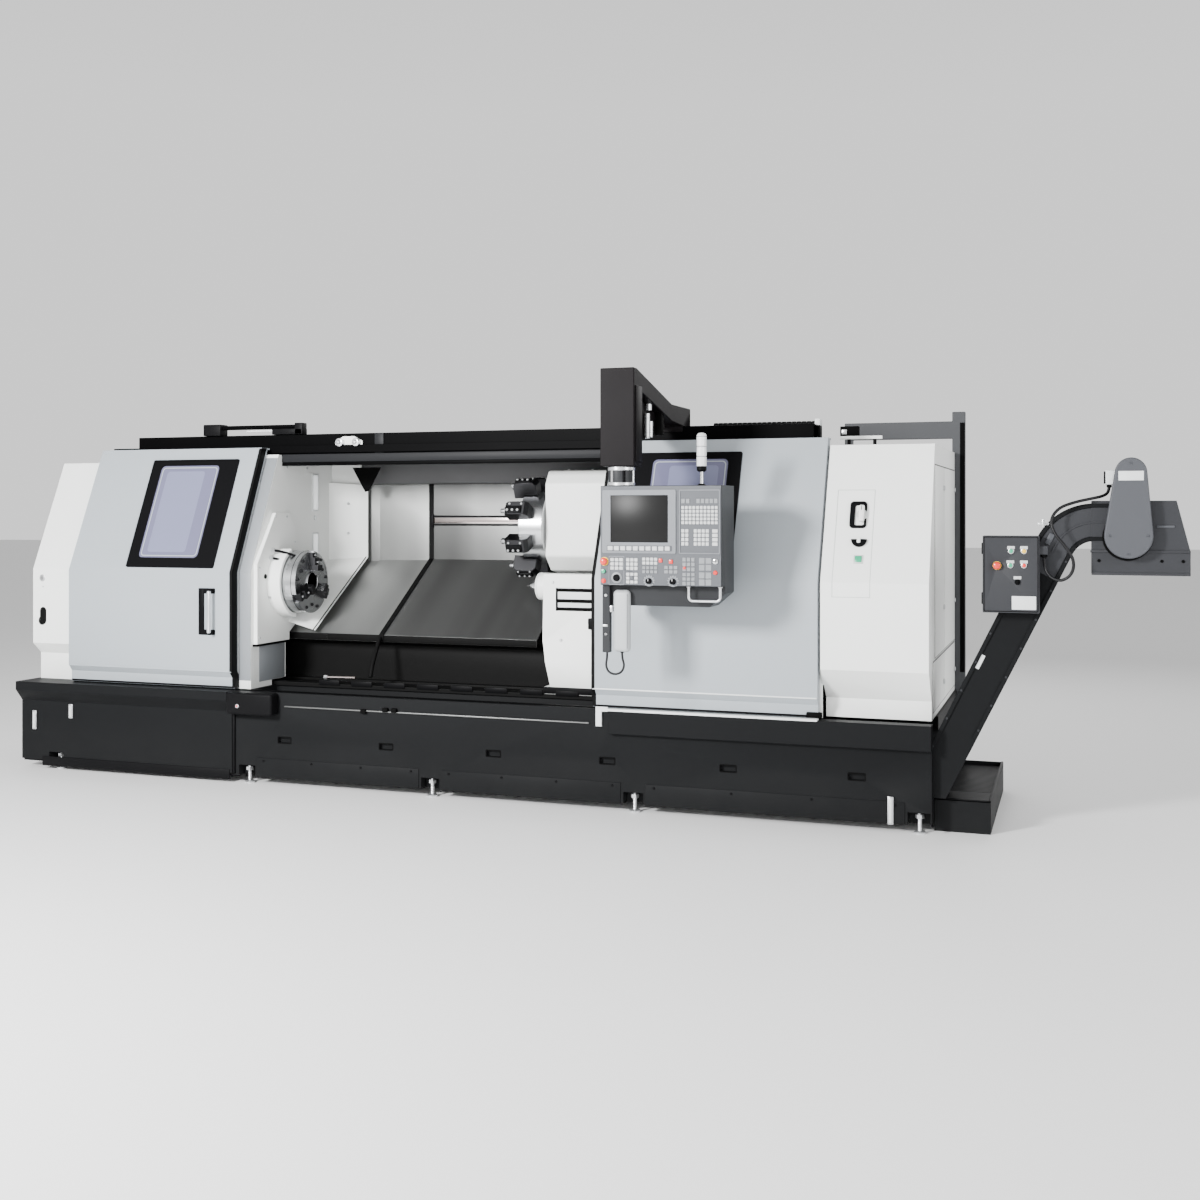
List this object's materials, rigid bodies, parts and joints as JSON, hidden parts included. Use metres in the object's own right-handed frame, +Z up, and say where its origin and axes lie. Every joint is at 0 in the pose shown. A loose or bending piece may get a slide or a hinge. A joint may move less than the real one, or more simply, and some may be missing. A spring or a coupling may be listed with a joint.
{
  "type": "cnc turning lathe",
  "caption": "Long slant-bed turning lathe with two sliding doors, chuck, turret, tailstock, overhead control pendant and a chip conveyor.",
  "frame": {"origin": "on the floor, under the middle of the length and depth of the whole machine", "axes": "+X from the headstock to the chip conveyor, along the spindle; -Y towards the operator; +Z up"},
  "size_m": [7.27, 2.334, 2.495],
  "materials": {
    "base_paint": "charcoal, satin, fine textured",
    "door_paint": "blue-grey, satin",
    "cover_paint": "off-white, satin",
    "dark_paint": "near black, satin",
    "grey_paint": "mid grey, satin",
    "conveyor_paint": "dark grey, satin",
    "casting": "painted grey casting",
    "ground_steel": "ground and oiled",
    "cover_steel": "brushed stainless sheet",
    "dark_steel": "blackened",
    "bright_steel": "polished",
    "aluminium": "satin",
    "rubber": "matt",
    "black_plastic": "fine grain",
    "grey_plastic": "fine grain",
    "red_plastic": "glossy",
    "green_plastic": "glossy, lit",
    "lamp_plastic": "translucent, glossy",
    "glass": "tinted, dark printed border",
    "white_paint": "white, gloss"
  },
  "bodies": {
    "machine": {"base_frame": "base_paint", "levelling_feet": "ground_steel", "indicator_box": "base_paint", "bed_casting": "dark_paint", "headstock_casting": "casting", "spindle_bearings": "ground_steel", "spindle_motor": "dark_paint", "drive_belt": "rubber", "left_end_cover": "cover_paint", "headstock_cover": "cover_paint", "chuck_wall": "cover_paint", "chuck_guard": "cover_paint", "lintel_beam": "grey_paint", "door_rails": "ground_steel", "fixed_way_cover": "cover_steel", "right_cabinet": "cover_paint", "rear_cover": "cover_paint", "rear_rail": "dark_paint", "electrical_cabinet": "cover_paint", "coolant_tank": "base_paint", "conveyor_front_side": "conveyor_paint", "conveyor_rear_side": "conveyor_paint", "conveyor_top_plate": "conveyor_paint", "conveyor_bottom_plate": "conveyor_paint", "conveyor_hood": "conveyor_paint", "drive_cover": "grey_paint", "control_box": "conveyor_paint", "conveyor_motor": "grey_paint", "conveyor_cable": "rubber"},
    "spindle": {"spindle_shaft": "ground_steel", "chuck_body": "ground_steel", "spindle_pulley": "casting"},
    "jaw_1": {"chuck_jaw_1": "dark_steel"},
    "jaw_2": {"chuck_jaw_2": "dark_steel"},
    "jaw_3": {"chuck_jaw_3": "dark_steel"},
    "motor_rotor": {"motor_pulley": "casting"},
    "left_door": {"left_door_panel": "door_paint", "left_window": "glass", "left_door_handle": "aluminium"},
    "right_door": {"right_door_panel": "door_paint", "right_window": "glass"},
    "carriage": {"saddle": "casting", "moving_way_covers": "cover_steel"},
    "middle_cover": {"middle_way_cover": "cover_steel"},
    "cross_slide": {"turret_housing": "cover_paint"},
    "turret": {"turret_disc": "ground_steel", "tool_blocks": "dark_steel"},
    "tailstock": {"tailstock_casting": "cover_paint"},
    "tailstock_quill": {"quill": "bright_steel"},
    "centre": {"live_centre": "bright_steel"},
    "pendant_carriage": {"pendant_arm": "dark_paint"},
    "pendant": {"pendant_shell": "grey_plastic", "pendant_face": "grey_plastic", "handset": "grey_plastic", "handset_cord": "rubber", "pendant_handle": "aluminium", "signal_lamp": "lamp_plastic"},
    "pendant_stop_button": {"pendant_stop": "red_plastic"},
    "start_button": {"cycle_start": "green_plastic"},
    "feed_dial": {"feed_knob": "black_plastic"},
    "breaker": {"breaker_handle": "white_paint"},
    "rear_door": {"cabinet_door": "cover_paint"},
    "conveyor_stop_button": {"conveyor_stop": "red_plastic"}
  },
  "joints": [
    {"name": "spindle_turn", "type": "hinge", "parent": "machine", "child": "spindle", "pos_m": [-1.83, -0.2, 1.26], "axis": [1, 0, 0], "continuous": true},
    {"name": "motor_turn", "type": "hinge", "parent": "machine", "child": "motor_rotor", "pos_m": [-3.15, 0.69, 1.435], "axis": [1, 0, 0], "continuous": true},
    {"name": "jaw_1_slide", "type": "slide", "parent": "spindle", "child": "jaw_1", "axis": [0, 0, 1], "range_m": [-0.006, 0.006]},
    {"name": "jaw_2_slide", "type": "slide", "parent": "spindle", "child": "jaw_2", "axis": [0, -0.866, -0.5], "range_m": [-0.006, 0.006]},
    {"name": "jaw_3_slide", "type": "slide", "parent": "spindle", "child": "jaw_3", "axis": [0, 0.866, -0.5], "range_m": [-0.006, 0.006]},
    {"name": "left_door_slide", "type": "slide", "parent": "machine", "child": "left_door", "axis": [1, 0, 0], "range_m": [0, 1.215]},
    {"name": "right_door_slide", "type": "slide", "parent": "machine", "child": "right_door", "axis": [-1, 0, 0], "range_m": [0, 1.215]},
    {"name": "carriage_slide", "type": "slide", "parent": "machine", "child": "carriage", "axis": [1, 0, 0], "range_m": [-1, 0.7]},
    {"name": "middle_cover_slide", "type": "slide", "parent": "machine", "child": "middle_cover", "axis": [1, 0, 0], "range_m": [-0.5, 0.35]},
    {"name": "cross_slide_travel", "type": "slide", "parent": "carriage", "child": "cross_slide", "axis": [0, 0.7071, 0.7071], "range_m": [-0.165, 0.085]},
    {"name": "turret_index", "type": "hinge", "parent": "cross_slide", "child": "turret", "pos_m": [-0.1, 0.16487, 1.62487], "axis": [1, 0, 0], "continuous": true},
    {"name": "tailstock_slide", "type": "slide", "parent": "machine", "child": "tailstock", "axis": [1, 0, 0], "range_m": [-0.9, 0.8]},
    {"name": "quill_feed", "type": "slide", "parent": "tailstock", "child": "tailstock_quill", "axis": [-1, 0, 0], "range_m": [0, 0.15]},
    {"name": "centre_spin", "type": "hinge", "parent": "tailstock_quill", "child": "centre", "pos_m": [-0.06, -0.2, 1.26], "axis": [1, 0, 0], "continuous": true},
    {"name": "pendant_travel", "type": "slide", "parent": "machine", "child": "pendant_carriage", "axis": [1, 0, 0], "range_m": [-2.4, 0.6]},
    {"name": "pendant_swivel", "type": "hinge", "parent": "pendant_carriage", "child": "pendant", "pos_m": [0.765, -1.065, 1.9], "axis": [0, 0, 1], "range_deg": [-90, 15]},
    {"name": "pendant_stop_press", "type": "slide", "parent": "pendant", "child": "pendant_stop_button", "axis": [0, 1, 0], "range_m": [0, 0.004], "stiffness_N_per_m": 1500},
    {"name": "start_press", "type": "slide", "parent": "pendant", "child": "start_button", "axis": [0, 1, 0], "range_m": [0, 0.003], "stiffness_N_per_m": 800},
    {"name": "feed_dial_turn", "type": "hinge", "parent": "pendant", "child": "feed_dial", "pos_m": [0.945, -1.145, 1.353], "axis": [0, 1, 0], "range_deg": [-135, 135]},
    {"name": "breaker_turn", "type": "hinge", "parent": "machine", "child": "breaker", "pos_m": [1.975, -0.49595, 1.702], "axis": [0, -0.9221, 0.387], "range_deg": [0, 90]},
    {"name": "rear_door_hinge", "type": "hinge", "parent": "machine", "child": "rear_door", "pos_m": [1.614, 1.1517, 1.3], "axis": [0, 0, -1], "range_deg": [0, 110]},
    {"name": "conveyor_stop_press", "type": "slide", "parent": "machine", "child": "conveyor_stop_button", "axis": [0, 1, 0], "range_m": [0, 0.004], "stiffness_N_per_m": 1500}
  ],
  "couplings": [
    {"joint": "motor_turn", "follows": "spindle_turn", "ratio": 1.8823},
    {"joint": "jaw_2_slide", "follows": "jaw_1_slide", "ratio": 1},
    {"joint": "jaw_3_slide", "follows": "jaw_1_slide", "ratio": 1},
    {"joint": "middle_cover_slide", "follows": "carriage_slide", "ratio": 0.5}
  ]
}
